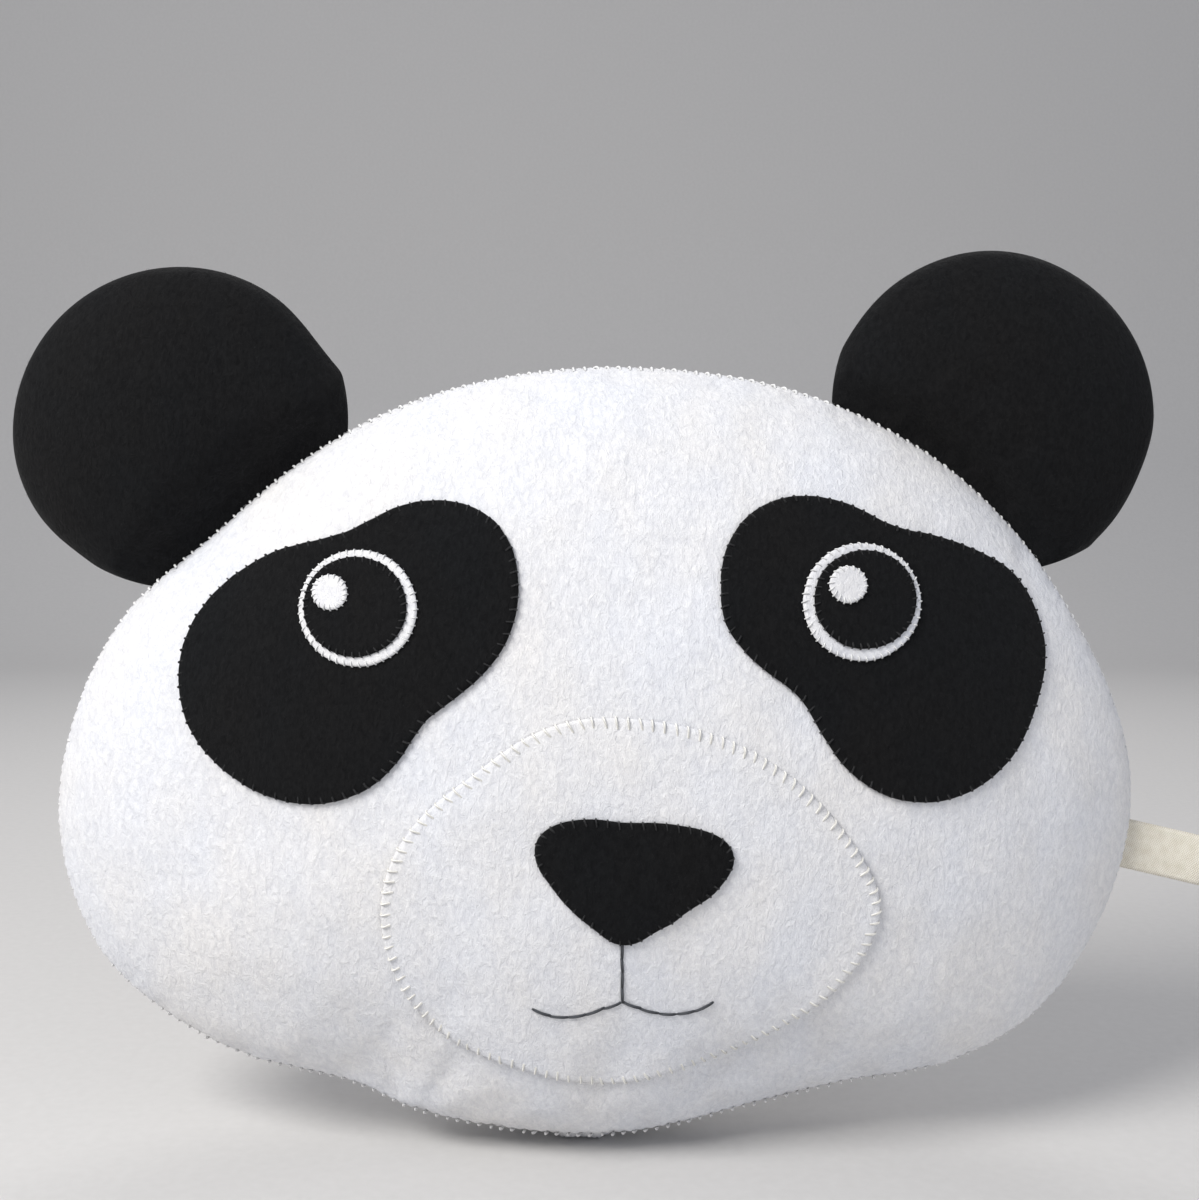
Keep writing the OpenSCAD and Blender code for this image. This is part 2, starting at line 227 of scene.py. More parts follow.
def rim_of(node):
    """The points round the upright edge of a piece."""
    mesh = frame["nodes"][node].data
    walls = [p for p in mesh.polygons if abs(p.normal.y) < 1e-3 and abs(p.normal.z) < 0.99999]
    corners = sorted({i for p in walls for i in p.vertices})
    return np.array([mesh.vertices[i].co[:] for i in corners])


def outline_of(node):
    """The closed edge of a piece as seen from the front: (x, z) points in order round it."""
    flat = np.unique(rim_of(node)[:, [0, 2]].round(5), axis=0)
    out = flat - flat.mean(0)
    flat = flat[np.argsort(np.arctan2(out[:, 1], out[:, 0]))]
    apart = np.hypot(*(flat - np.roll(flat, 1, 0)).T) > 5e-5
    return flat[apart]


def seam_at(node, flat):
    """How far back the seam of a piece lies at each point, from the rim of its front panel."""
    rim = rim_of(node)
    height = np.linspace(rim[:, 2].min(), rim[:, 2].max(), 60)
    seam = [rim[np.argsort(np.abs(rim[:, 2] - z))[:8], 1].max() for z in height]
    return np.interp(flat[:, 1], height, seam)


def evenly(line, count, rounded=True):
    """The same closed line, rounded off between its points and cut into equal steps."""
    if rounded:
        share = np.linspace(0, 1, 12, endpoint=False)[:, None, None]
        before, here, there, after = (np.roll(line, -k, 0)[None] for k in (-1, 0, 1, 2))
        curve = (
            here
            + share * (there - before) / 2
            + share**2 * (before - 2.5 * here + 2 * there - after / 2)
            + share**3 * (1.5 * (here - there) + (after - before) / 2)
        )
        line = curve.transpose(1, 0, 2).reshape(-1, 2)
    closed = np.vstack([line, line[:1]])
    way = np.concatenate([[0], np.cumsum(np.hypot(*np.diff(closed, axis=0).T))])
    steps = np.linspace(0, way[-1], count, endpoint=False)
    return np.column_stack([np.interp(steps, way, closed[:, k]) for k in (0, 1)])


def length_of(line):
    return np.hypot(*(line - np.roll(line, 1, 0)).T).sum()


def inward(line):
    """The unit step into a closed line that runs anticlockwise, at each of its points."""
    run = np.roll(line, -1, 0) - np.roll(line, 1, 0)
    run /= np.hypot(*run.T)[:, None]
    return np.column_stack([-run[:, 1], run[:, 0]])


def depth_inside(at, edge):
    """How far each point lies inside a closed line, and the line's nearest step to it."""
    best, nearest = np.full(len(at), np.inf), np.zeros(len(at))
    inside = np.zeros(len(at), bool)
    for i, (a, b) in enumerate(zip(edge, np.roll(edge, -1, 0))):
        run = b - a
        share = np.clip((at - a) @ run / (run @ run), 0, 1)
        gap = np.hypot(*(at - a - share[:, None] * run).T)
        nearest = np.where(gap < best, i + share, nearest)
        best = np.minimum(best, gap)
        crossed = (a[1] > at[:, 1]) != (b[1] > at[:, 1])
        if run[1]:
            inside ^= crossed & (at[:, 0] < a[0] + (at[:, 1] - a[1]) / run[1] * run[0])
    return np.where(inside, best, -best), nearest


def cut_felt(edge, insets, net):
    """A flat cut of felt: its edge, rows of points just inside it, and an even net over
    the rest. Gives the points, the triangles, and how far inside the edge each point is."""
    step_in = inward(edge)
    rows, depths = [edge], [np.zeros(len(edge))]
    for inset, every in insets:
        row = (edge + inset * step_in)[::every]
        rows.append(row)
        depths.append(np.full(len(row), inset))
    low, high = edge.min(0), edge.max(0)
    lattice = np.array([
        (x + (net / 2 if row % 2 else 0), z)
        for row, z in enumerate(np.arange(low[1], high[1], net * 0.866))
        for x in np.arange(low[0], high[0], net)
    ])
    gap = depth_inside(lattice, edge)[0]
    kept = gap > insets[-1][0] + 0.55 * net
    points = np.vstack(rows + [lattice[kept]])
    rim = len(edge)
    made = delaunay_2d_cdt(
        [Vector(p) for p in points], [(i, (i + 1) % rim) for i in range(rim)], [], 1, 1e-7
    )
    number = [origin[0] for origin in made[3]]
    triangles = [[number[i] for i in face] for face in made[2]]
    return points, triangles, np.concatenate(depths + [gap[kept]])


def outside_of(node):
    """The outer faces of a stuffed panel, to lay felt on."""
    mesh = frame["nodes"][node].data
    low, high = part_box(node)
    middle = Vector(((low.x + high.x) / 2, 0, (low.z + high.z) / 2))
    outer = [p.vertices[:] for p in mesh.polygons if p.normal.dot(p.center - middle) > 0]
    return BVHTree.FromPolygons([v.co for v in mesh.vertices], outer)


def lens(triangles, count, rim):
    """The faces of two felts sewn together along their edge: front, back, and the edge."""
    round_edge = [(i, i + count, (i + 1) % rim + count, (i + 1) % rim) for i in range(rim)]
    return (
        [tuple(t) for t in triangles]
        + [(t[0] + count, t[2] + count, t[1] + count) for t in triangles]
        + round_edge
    )


def swell(points, faces, held, most, grow):
    """Stuffs a closed felt bag: air pressure swells it, and no point moves more than most."""
    bag = add_mesh("bag", points, faces)
    bag.vertex_groups.new(name="seam").add([int(i) for i in held], 1, "REPLACE")
    cloth = bag.modifiers.new("stuffing", "CLOTH")
    cloth.settings.use_pressure = True
    cloth.settings.uniform_pressure_force = 4
    cloth.settings.mass = 0.01
    cloth.settings.tension_stiffness = 4
    cloth.settings.compression_stiffness = 4
    cloth.settings.shear_stiffness = 2
    cloth.settings.bending_stiffness = 0.3
    cloth.settings.shrink_min = -grow
    cloth.settings.vertex_group_mass = "seam"
    cloth.settings.effector_weights.gravity = 0
    cloth.point_cache.frame_start = 1
    cloth.point_cache.frame_end = 20
    for step in range(1, 21):
        bpy.context.scene.frame_set(step)
    full = bag.evaluated_get(bpy.context.evaluated_depsgraph_get()).to_mesh()
    moved = np.array([v.co[:] for v in full.vertices]) - points
    far = np.linalg.norm(moved, axis=1)[:, None]
    bpy.data.objects.remove(bag)
    bpy.context.scene.frame_set(1)
    return points + moved * np.minimum(1, most / np.maximum(far, 1e-9))


def finished(made):
    """Turns an object with modifiers into a plain mesh, and gives it back."""
    shown = made.evaluated_get(bpy.context.evaluated_depsgraph_get())
    plain = bpy.data.meshes.new_from_object(shown)
    made.modifiers.clear()
    made.data = plain
    plain.name = made.name
    return made


def mesh_points(mesh):
    flat = np.zeros(len(mesh.vertices) * 3)
    mesh.vertices.foreach_get("co", flat)
    return flat.reshape(-1, 3)


def mesh_normals(mesh):
    return np.array([v.normal[:] for v in mesh.vertices])


def set_points(mesh, points):
    mesh.vertices.foreach_set("co", points.ravel())
    mesh.update()


def rounded(made):
    """Rounds a mesh off with one subdivision, and makes it plain."""
    made.modifiers.new("round", "SUBSURF").levels = 1
    made.modifiers["round"].render_levels = 1
    return finished(made)


def thickened(made, thick):
    """Gives felt its thickness on the inside, and makes it a plain mesh."""
    wall = made.modifiers.new("felt", "SOLIDIFY")
    wall.thickness = thick
    wall.offset = -1
    return finished(made)


def uneven(points, normals, size, height, seed):
    """Low soft lumps, as stuffing leaves them."""
    lift = [noise.noise(Vector(p) / size + Vector((seed, 0, 0))) for p in points]
    return points + normals * (height * np.array(lift))[:, None]


def new_tree(name, result, sockets):
    """A new tree of geometry nodes: the tree, its named inputs, and its end."""
    tree = bpy.data.node_groups.new(name, "GeometryNodeTree")
    for label, kind in sockets:
        tree.interface.new_socket(label, in_out="INPUT", socket_type="NodeSocket" + kind)
    tree.interface.new_socket(result, in_out="OUTPUT", socket_type="NodeSocketGeometry")
    return tree, tree.nodes.new("NodeGroupInput").outputs, tree.nodes.new("NodeGroupOutput")


def turned_by(tree, rotation, angles):
    """A rotation, turned further about its own axes."""
    further = add_node(tree, "FunctionNodeEulerToRotation", {0: angles})
    return add_node(
        tree, "FunctionNodeRotateRotation", {0: rotation, 1: further.outputs[0]},
        rotation_space="LOCAL",
    ).outputs[0]


def grown(piece, tree, values):
    """Runs a tree on a piece with these inputs, and makes the piece a plain mesh."""
    tool = piece.modifiers.new(tree.name, "NODES")
    tool.node_group = tree
    for item in tree.interface.items_tree:
        if item.name in values:
            tool[item.identifier] = values[item.name]
    return finished(piece)


def fibre_nap():
    """Loose fibres in felt: short bent hairs that taper off and lean every way."""
    tree, given, end = new_tree("fibre_nap", "Nap", (
        ("Felt", "Geometry"), ("Fibres per square metre", "Float"), ("Length", "Float"),
        ("Radius", "Float"), ("Lean", "Float"), ("Facing", "Vector"), ("Seed", "Int"),
        ("Fibre", "Material"),
    ))
    slope = add_node(tree, "GeometryNodeInputNormal").outputs["Normal"]
    toward = add_node(
        tree, "ShaderNodeVectorMath", {0: slope, 1: given["Facing"]}, operation="DOT_PRODUCT"
    )
    shown = add_node(
        tree, "FunctionNodeCompare", {"A": toward.outputs["Value"], "B": 0},
        operation="GREATER_THAN",
    )
    scatter = add_node(tree, "GeometryNodeDistributePointsOnFaces", {
        "Mesh": given["Felt"], "Selection": shown.outputs["Result"],
        "Density": given["Fibres per square metre"], "Seed": given["Seed"],
    })
    hair = add_node(tree, "GeometryNodeCurvePrimitiveBezierSegment", {
        "Resolution": 3, "Start": (0, 0, -0.08), "Start Handle": (0, 0, 0.3),
        "End Handle": (0.4, 0, 0.45), "End": (0.95, 0.1, 0.32),
    })
    along = add_node(tree, "GeometryNodeSplineParameter").outputs["Factor"]
    thin = add_node(tree, "ShaderNodeMapRange", {"To Min": 1, "To Max": 0.25, "Value": along})
    slim = add_node(
        tree, "ShaderNodeMath", {0: given["Radius"], 1: given["Length"]}, operation="DIVIDE"
    )
    round_hair = add_node(
        tree, "GeometryNodeCurvePrimitiveCircle", {"Resolution": 3, "Radius": slim.outputs[0]}
    )
    tube = add_node(tree, "GeometryNodeCurveToMesh", {
        "Fill Caps": True, "Curve": hair.outputs["Curve"], "Scale": thin.outputs["Result"],
        "Profile Curve": round_hair.outputs["Curve"],
    })
    turns = add_node(
        tree, "FunctionNodeRandomValue", {1: (0, 0, 2 * pi), "Seed": given["Seed"]},
        data_type="FLOAT_VECTOR",
    )
    fall = add_node(
        tree, "FunctionNodeRandomValue", {3: given["Lean"], "Seed": given["Seed"]},
        data_type="FLOAT",
    )
    tilt = add_node(tree, "ShaderNodeCombineXYZ", {"Y": fall.outputs[1]})
    lying = turned_by(tree, scatter.outputs["Rotation"], turns.outputs[0])
    sizes = add_node(
        tree, "FunctionNodeRandomValue", {2: 0.5, 3: 1.4, "Seed": given["Seed"]},
        data_type="FLOAT",
    )
    long = add_node(
        tree, "ShaderNodeMath", {0: sizes.outputs[1], 1: given["Length"]}, operation="MULTIPLY"
    )
    stand = add_node(tree, "GeometryNodeInstanceOnPoints", {
        "Points": scatter.outputs["Points"], "Instance": tube.outputs["Mesh"],
        "Rotation": turned_by(tree, lying, tilt.outputs[0]), "Scale": long.outputs[0],
    })
    real = add_node(
        tree, "GeometryNodeRealizeInstances", {"Geometry": stand.outputs["Instances"]}
    )
    dyed = add_node(tree, "GeometryNodeSetMaterial", {
        "Geometry": real.outputs["Geometry"], "Material": given["Fibre"],
    })
    tree.links.new(dyed.outputs["Geometry"], end.inputs[0])
    return tree


nap_of_fibres = fibre_nap()
fibre_radius = 0.000024


def hair_finish(name, pale, deep):
    """Single wool fibres, some paler than others."""
    made, tree, skin = new_finish(name, 0.7, 0.2)
    dress(tree, skin, toned(tree, grain(tree, place_on(tree), 900), deep, pale, 0.3, 0.7))
    return made


white_fibre = hair_finish("white_fibre", (0.9, 0.9, 0.91), (0.8, 0.81, 0.83))


def napped(name, piece, facing, per_cm2, long, lean, seed, fibre):
    """The loose fibres on the side of a felt piece that shows, as a plain mesh."""
    fuzz = bpy.data.objects.new(name, piece.data.copy())
    bpy.context.scene.collection.objects.link(fuzz)
    grown(fuzz, nap_of_fibres, {
        "Fibres per square metre": per_cm2 * 1e4, "Length": long, "Radius": fibre_radius,
        "Lean": lean, "Facing": facing, "Seed": seed, "Fibre": fibre,
    })
    at = mesh_points(fuzz.data)
    at[:, 2] = np.maximum(at[:, 2], 0)
    set_points(fuzz.data, at)
    return fuzz


head_outline = outline_of("head_front")
seam_stitches = round(length_of(evenly(head_outline, 400)) / stitch_pitch)
head_edge = evenly(head_outline, 2 * seam_stitches)
flat_points, head_faces, head_inside = cut_felt(head_edge, head_insets, head_net)
rim_count, point_count = len(head_edge), len(flat_points)


def laid_on(node, side, flat, inside, seam, rim_height):
    """Felt points laid on the outer face of a stuffed panel, with the edge at the seam."""
    low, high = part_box(node)
    deep = max(-low.y, high.y)
    outer = outside_of(node)
    bulge = deep * (1 - (1 - inside / inside.max()) ** 2.4) ** 0.72
    return np.array([
        outer.find_nearest(Vector((x, middle + side * y, z)))[0][:] if depth > 0
        else (x, middle + side * rim_height, z)
        for (x, z), y, depth, middle in zip(flat, bulge, inside, seam)
    ])


slack = 0.97
head_seam = seam_at("head_front", flat_points)
head_bag = np.vstack([
    laid_on("head_front", -1, flat_points, head_inside, head_seam, head_rim),
    laid_on("head_back", 1, flat_points, head_inside, head_seam, head_rim),
])
free = np.tile(head_inside > 0, 2)
seam_twice = np.tile(head_seam, 2)[free]
head_bag[free, 1] = seam_twice + slack * (head_bag[free, 1] - seam_twice)
held = [i for i in range(2 * point_count) if not free[i]]
head_bag = swell(
    head_bag, lens(head_faces, point_count, rim_count), held, most=0.008, grow=0.012
)
head_bag[:, 2] = np.maximum(head_bag[:, 2], 0)


def head_panel(name, points, faces, seed):
    """One panel of the head: rounded, lumped a little, nipped in at each stitch."""
    panel = rounded(add_mesh(name, points, faces, white_felt))
    at, out = mesh_points(panel.data), mesh_normals(panel.data)
    inside, nearest = depth_inside(at[:, [0, 2]], head_edge)
    calm = np.clip(inside / 0.02, 0, 1)[:, None]
    lumped = uneven(uneven(at, out, 0.045, 0.0012, seed), out, 0.017, 0.0004, seed + 7)
    at = at + (lumped - at) * calm
    nip = 0.0004 * np.exp(-((inside / 0.0014) ** 2)) * (0.5 + 0.5 * np.cos(pi * nearest))
    at -= out * nip[:, None]
    chin = head_edge[:, 1].min()
    if at[:, 2].min() < chin - 0.001:
        under = at[:, 2] < chin
        press = (chin + 0.0006) / (chin - at[:, 2].min())
        at[under, 2] = chin - (chin - at[under, 2]) * press
    at[:, 2] = np.maximum(at[:, 2], 0)
    set_points(panel.data, at)
    return panel


head_front = head_panel("head_front_felt", head_bag[:point_count], head_faces, 3)
head_back = head_panel(
    "head_back_felt", head_bag[point_count:], [(a, c, b) for a, b, c in head_faces], 11
)
face_skin = BVHTree.FromObject(head_front, bpy.context.evaluated_depsgraph_get())
face_normals = mesh_normals(head_front.data)
face_points = mesh_points(head_front.data)
face_cells = [list(p.vertices) for p in head_front.data.polygons]
for panel, node, way, seed in (
    (head_front, "head_front", -1, 5), (head_back, "head_back", 1, 6)
):
    nap = napped(
        node + "_nap", panel, (0, way, 0.1), 15, 0.0017, 0.5, seed, white_fibre
    )
    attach(nap, "head")
    thickened(panel, head_felt)
    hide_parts(node)
    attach(panel, "head")


# ---- Stuffing of the head ----
# Loose white polyester fibre, pushed in by hand through the last gap of the seam.
# It is lumpy, fills the whole head and stops just short of the felt.


def fibre_fill(name):
    """Loose stuffing: a tangle of thin pale fibres."""
    made, tree, skin = new_finish(name, 0.8, sheen=0.4)
    tangle = grain(tree, place_on(tree), 500, 6, twist=3)
    tufts = add_node(tree, "ShaderNodeBump", {"Distance": 0.001, "Height": tangle})
    dress(tree, skin, toned(tree, tangle, (0.7, 0.7, 0.68), (0.92, 0.92, 0.9)), tufts)
    return made


stuffing_fibre = fibre_fill("stuffing_fibre")


def stuffing(name, outline, front, back, shrink, fill, body, lowest):
    """A lumpy closed body of stuffing that stands inside two felt panels."""
    middle = outline.mean(0)
    edge = evenly(middle + shrink * (outline - middle), round(length_of(outline) / 0.006))
    flat, faces, inside = cut_felt(edge, ((0.004, 1),), 0.006)
    seam = seam_at(front, flat)
    points = np.vstack([
        laid_on(front, -1, flat, inside, seam, 0.001),
        laid_on(back, 1, flat, inside, seam, 0.001),
    ])
    points[:, [0, 2]] = middle + shrink * (points[:, [0, 2]] - middle)
    seam = np.tile(seam, 2)
    points[:, 1] = seam + fill * (points[:, 1] - seam)
    lump = add_mesh(name, points, lens(faces, len(flat), len(edge)), stuffing_fibre)
    points = uneven(points, mesh_normals(lump.data), 0.012, 0.0008, 5)
    points[:, 2] = np.maximum(points[:, 2], lowest)
    set_points(lump.data, points)
    rounded(lump)
    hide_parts(name.replace("_fibre", ""))
    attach(lump, body)


stuffing("head_stuffing_fibre", head_outline, "head_front", "head_back", 0.955, 0.9, "head", 0.003)


# ---- Eyes: patches, whites, pupils and spots ----
# Each eye is four cuts of felt laid on top of each other and whipstitched round the edge:
# a black kidney-shaped patch, a white disc, a black pupil, and a small white spot of light.

patch_felt = 0.0016
disc_felt = 0.001
spot_felt = 0.0009
first_lift = 0.0001
bite = 0.0001  # how far each cut sinks into the one under it

black_felt = felt(
    "black_felt", (0.0105, 0.0105, 0.011), (0.0045, 0.0045, 0.005),
    ((1.0, 0.98, 0.97), (0.9, 0.95, 1.0)), 0.035, 900,
)
black_fibre = hair_finish("black_fibre", (0.03, 0.03, 0.031), (0.008, 0.008, 0.009))
# (felt, its loose fibres, and how many stand on a square centimetre)
felts = {"white_felt": (white_felt, white_fibre, 15), "black_felt": (black_felt, black_fibre, 22)}


def face_at(x, z):
    """The place on the felt of the face in front of (x, z), and the way it faces."""
    spot, _, index, _ = face_skin.ray_cast(Vector((x, -0.2, z)), Vector((0, 1, 0)))
    if spot is None:
        spot, _, index, _ = face_skin.find_nearest(Vector((x, -0.002, z)))
    near = face_cells[index]
    weight = 1 / (np.linalg.norm(face_points[near] - np.array(spot), axis=1) + 1e-5)
    way = weight @ face_normals[near]
    return np.array(spot), way / np.linalg.norm(way)


def sewn_on(node, slot, lift, thick, pitch, net, seed):
    """A cut of felt sewn flat on the face: its edge is rounded and nipped in at each stitch.
    Gives its edge, with two points to each stitch."""
    material, fibre, amount = felts[slot]
    outline = outline_of(node)
    stitches = round(length_of(evenly(outline, 400)) / pitch)
    edge = evenly(outline, 2 * stitches)
    wave = 0.5 + 0.5 * np.cos(pi * np.arange(len(edge)))
    ragged = np.array([noise.noise(Vector((x * 300, z * 300, seed))) for x, z in edge])
    edge += inward(edge) * (0.00014 * wave + 0.00016 * ragged)[:, None]
    flat, faces, inside = cut_felt(edge, ((0.28 * thick, 1), (0.8 * thick, 1)), net)
    full = np.clip(inside / (0.8 * thick), 0, 1)
    round_off = np.sqrt(1 - (1 - full) ** 2)
    top, under = [], []
    for (x, z), fullness in zip(flat, round_off):
        spot, way = face_at(x, z)
        soft = 0.00012 * noise.noise(Vector((x * 120, z * 120, seed))) * fullness
        top.append(spot + way * (lift + thick * (0.45 + 0.55 * fullness) + soft))
        under.append(spot + way * (lift + thick * (0.45 - 0.45 * fullness)))
    points = np.vstack([top, under])
    cut = add_mesh(node + "_felt", points, lens(faces, len(flat), len(edge)), material)
    piece = rounded(cut)
    nap = napped(node + "_nap", piece, (0, -1, 0), amount, 0.0011, 0.6, seed, fibre)
    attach(nap, "head")
    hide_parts(node)
    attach(piece, "head")
    return edge


def stitch_row():
    """Sews one bent thread through every hole of a row. Each hole carries the way the
    stitch runs ("across") and the way it stands up ("up")."""
    tree, given, end = new_tree("stitch_row", "Stitches", (
        ("Holes", "Geometry"), ("Start", "Vector"), ("Start handle", "Vector"),
        ("End handle", "Vector"), ("End", "Vector"), ("Thread radius", "Float"),
        ("Slant", "Float"), ("Looseness", "Float"), ("Seed", "Int"), ("Thread", "Material"),
    ))
    path = add_node(tree, "GeometryNodeCurvePrimitiveBezierSegment", {
        "Resolution": 7, "Start": given["Start"], "Start Handle": given["Start handle"],
        "End Handle": given["End handle"], "End": given["End"],
    })
    circle = add_node(
        tree, "GeometryNodeCurvePrimitiveCircle",
        {"Resolution": 6, "Radius": given["Thread radius"]},
    )
    way = add_node(tree, "GeometryNodeSplineParameter")
    marked = [
        add_node(tree, "GeometryNodeStoreNamedAttribute", {
            "Name": label, "Geometry": curve.outputs["Curve"], "Value": way.outputs[measure],
        }, data_type="FLOAT").outputs["Geometry"]
        for label, curve, measure in (
            ("thread_along", path, "Length"), ("thread_round", circle, "Factor")
        )
    ]
    tube = add_node(tree, "GeometryNodeCurveToMesh", {
        "Fill Caps": True, "Curve": marked[0], "Profile Curve": marked[1],
    })
    turn = add_node(tree, "FunctionNodeAxesToRotation", {
        socket: add_node(
            tree, "GeometryNodeInputNamedAttribute", {"Name": label}, data_type="FLOAT_VECTOR"
        ).outputs["Attribute"]
        for label, socket in (("up", "Primary Axis"), ("across", "Secondary Axis"))
    }, primary_axis="Z", secondary_axis="X")
    minus = add_node(
        tree, "ShaderNodeMath", {0: given["Looseness"], 1: -1}, operation="MULTIPLY"
    )
    sway = add_node(tree, "FunctionNodeRandomValue", {
        2: minus.outputs[0], 3: given["Looseness"], "Seed": given["Seed"],
    }, data_type="FLOAT")
    lean = add_node(tree, "ShaderNodeMath", {0: given["Slant"], 1: sway.outputs[1]})
    spin = add_node(tree, "ShaderNodeCombineXYZ", {"Z": lean.outputs[0]})
    stretch = add_node(tree, "FunctionNodeRandomValue", {
        0: (0.88, 0.94, 0.9), 1: (1.12, 1.06, 1.1), "Seed": given["Seed"],
    }, data_type="FLOAT_VECTOR")
    sewn = add_node(tree, "GeometryNodeInstanceOnPoints", {
        "Points": given["Holes"], "Instance": tube.outputs["Mesh"],
        "Rotation": turned_by(tree, turn.outputs[0], spin.outputs[0]),
        "Scale": stretch.outputs[0],
    })
    real = add_node(
        tree, "GeometryNodeRealizeInstances", {"Geometry": sewn.outputs["Instances"]}
    )
    soft = add_node(
        tree, "GeometryNodeSetShadeSmooth", {"Geometry": real.outputs["Geometry"]}
    )
    dyed = add_node(tree, "GeometryNodeSetMaterial", {
        "Geometry": soft.outputs["Geometry"], "Material": given["Thread"],
    })
    tree.links.new(dyed.outputs["Geometry"], end.inputs[0])
    return tree


row_of_stitches = stitch_row()


def thread_finish(name, pale, deep):
    """Sewing thread: two strands twisted round each other, with fine loose fibres, and painted
    shade in the grooves between the strands.
    """
    strands, turns = 2, 1400
    made, tree, skin = new_finish(name, 0.7, 0.3, 0.15)
    twist = [
        add_node(tree, "ShaderNodeMath", {
            0: add_node(tree, "ShaderNodeAttribute", attribute_name=label).outputs["Fac"],
            1: times,
        }, operation="MULTIPLY").outputs[0]
        for label, times in (("thread_along", turns), ("thread_round", 2 * pi * strands))
    ]
    phase = add_node(tree, "ShaderNodeMath", {0: twist[0], 1: twist[1]}).outputs[0]
    wave = add_node(tree, "ShaderNodeMath", {0: phase}, operation="SINE").outputs[0]
    painted_groove_shade = add_node(tree, "ShaderNodeMapRange", {"From Min": -1, "Value": wave})
    # Darker in the grooves between the strands: painted shade, mixed with a random fine grain of
    # tone. The same pattern gives the ridges their relief.
    shade = add_node(tree, "ShaderNodeMix", {
        "Factor": 0.4, "A": painted_groove_shade.outputs["Result"], "B": grain(tree, place_on(tree), 3500, 3),
    }).outputs["Result"]
    ridges = add_node(
        tree, "ShaderNodeBump", {"Strength": 0.7, "Distance": 0.00012, "Height": shade}
    )
    dress(tree, skin, toned(tree, shade, deep, pale, 0.2, 0.75), ridges)
    return made


threads = {
    name: thread_finish(name, pale, deep) for name, pale, deep in (
        ("black_thread", (0.012, 0.012, 0.013), (0.005, 0.005, 0.006)),
        ("white_thread", (0.86, 0.86, 0.85), (0.6, 0.6, 0.6)),
    )
}


def sew(part, holes, across, up, bend, radius, slant, looseness, seed, slot):
    """One row of stitches as a plain mesh. Bend gives the four points of the thread's curve."""
    row = add_mesh(part + "_thread", holes, [])
    for label, ways in (("across", across), ("up", up)):
        carried = row.data.attributes.new(label, "FLOAT_VECTOR", "POINT")
        carried.data.foreach_set("vector", np.array(ways, np.float32).ravel())
    values = dict(zip(("Start", "Start handle", "End handle", "End"), bend))
    values.update({
        "Thread radius": radius, "Slant": slant, "Looseness": looseness,
        "Seed": seed, "Thread": threads[slot],
    })
    grown(row, row_of_stitches, values)
    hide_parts(part + "_stitches")
    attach(row, "head")


def whipped(part, edge, lift, thick, long, radius, seed, slot, over=0.0002):
    """Whipstitches round a sewn-on piece: each comes up beside the edge and goes down
    through the felt a little way inside it."""
    holes, across, up = [], [], []
    for (x, z), step_in in list(zip(edge, inward(edge)))[::2]:
        spot, way = face_at(x, z)
        run = np.array((step_in[0], 0, step_in[1]))
        run -= way * (run @ way)
        holes.append(spot + way * lift)
        across.append(run / np.linalg.norm(run))
        up.append(way)
    crest = thick + 1.6 * radius
    bend = (
        (-over, 0, -0.3 * radius), (-over, 0, crest),
        (0.3 * long, 0, crest), (long, 0, thick - 0.6 * radius),
    )
    sew(part, holes, across, up, bend, radius, 0.25, 0.1, seed, slot)


# (cut, colour, thickness, stitch pitch, net, stitch length, thread radius, overhang)
eye_cuts = (
    ("_eye_patch", "black", patch_felt, 0.0032, 0.004, 0.0017, 0.00022, 0.00005),
    ("_eye_white", "white", disc_felt, 0.0021, 0.003, 0.0011, 0.0002, 0.0002),
    ("_pupil", "black", disc_felt, 0.0022, 0.003, 0.0013, 0.0002, 0.0002),
    ("_eye_spot", "white", spot_felt, 0.0017, 0.0015, 0.0012, 0.0002, 0.0002),
)
for side, seed in (("left", 21), ("right", 22)):
    lift = first_lift
    for part, colour, thick, pitch, net, long, radius, over in eye_cuts:
        edge = sewn_on(side + part, colour + "_felt", lift, thick, pitch, net, seed)
        whipped(
            side + part, edge, lift, thick, long, radius, seed, colour + "_thread", over
        )
        lift += thick - bite
        seed += 2


# ---- Muzzle, nose and mouth ----
# The muzzle is one more cut of the white felt, whipstitched in cream thread. The nose is
# black felt on top of it, and the mouth is backstitched in dark grey thread.

muzzle_felt = 0.0014
nose_felt = 0.0016
threads["cream_thread"] = thread_finish(
    "cream_thread", (0.88, 0.865, 0.82), (0.62, 0.605, 0.56)
)
threads["grey_thread"] = thread_finish(
    "grey_thread", (0.075, 0.08, 0.09), (0.025, 0.027, 0.032)
)

muzzle_edge = sewn_on("muzzle", "white_felt", first_lift, muzzle_felt, 0.0031, 0.004, 31)
whipped("muzzle", muzzle_edge, first_lift, muzzle_felt, 0.0026, 0.0003, 31, "cream_thread")
nose_lift = first_lift + muzzle_felt - bite
nose_edge = sewn_on("nose", "black_felt", nose_lift, nose_felt, 0.003, 0.0035, 33)
whipped("nose", nose_edge, nose_lift, nose_felt, 0.0016, 0.00022, 33, "black_thread", 0.00005)

mouth_stitch = 0.0047
mouth_radius = 0.0004
mouth_reach = 0.0008  # how far each line runs past the thread it stands for
under_nose = 0.0006


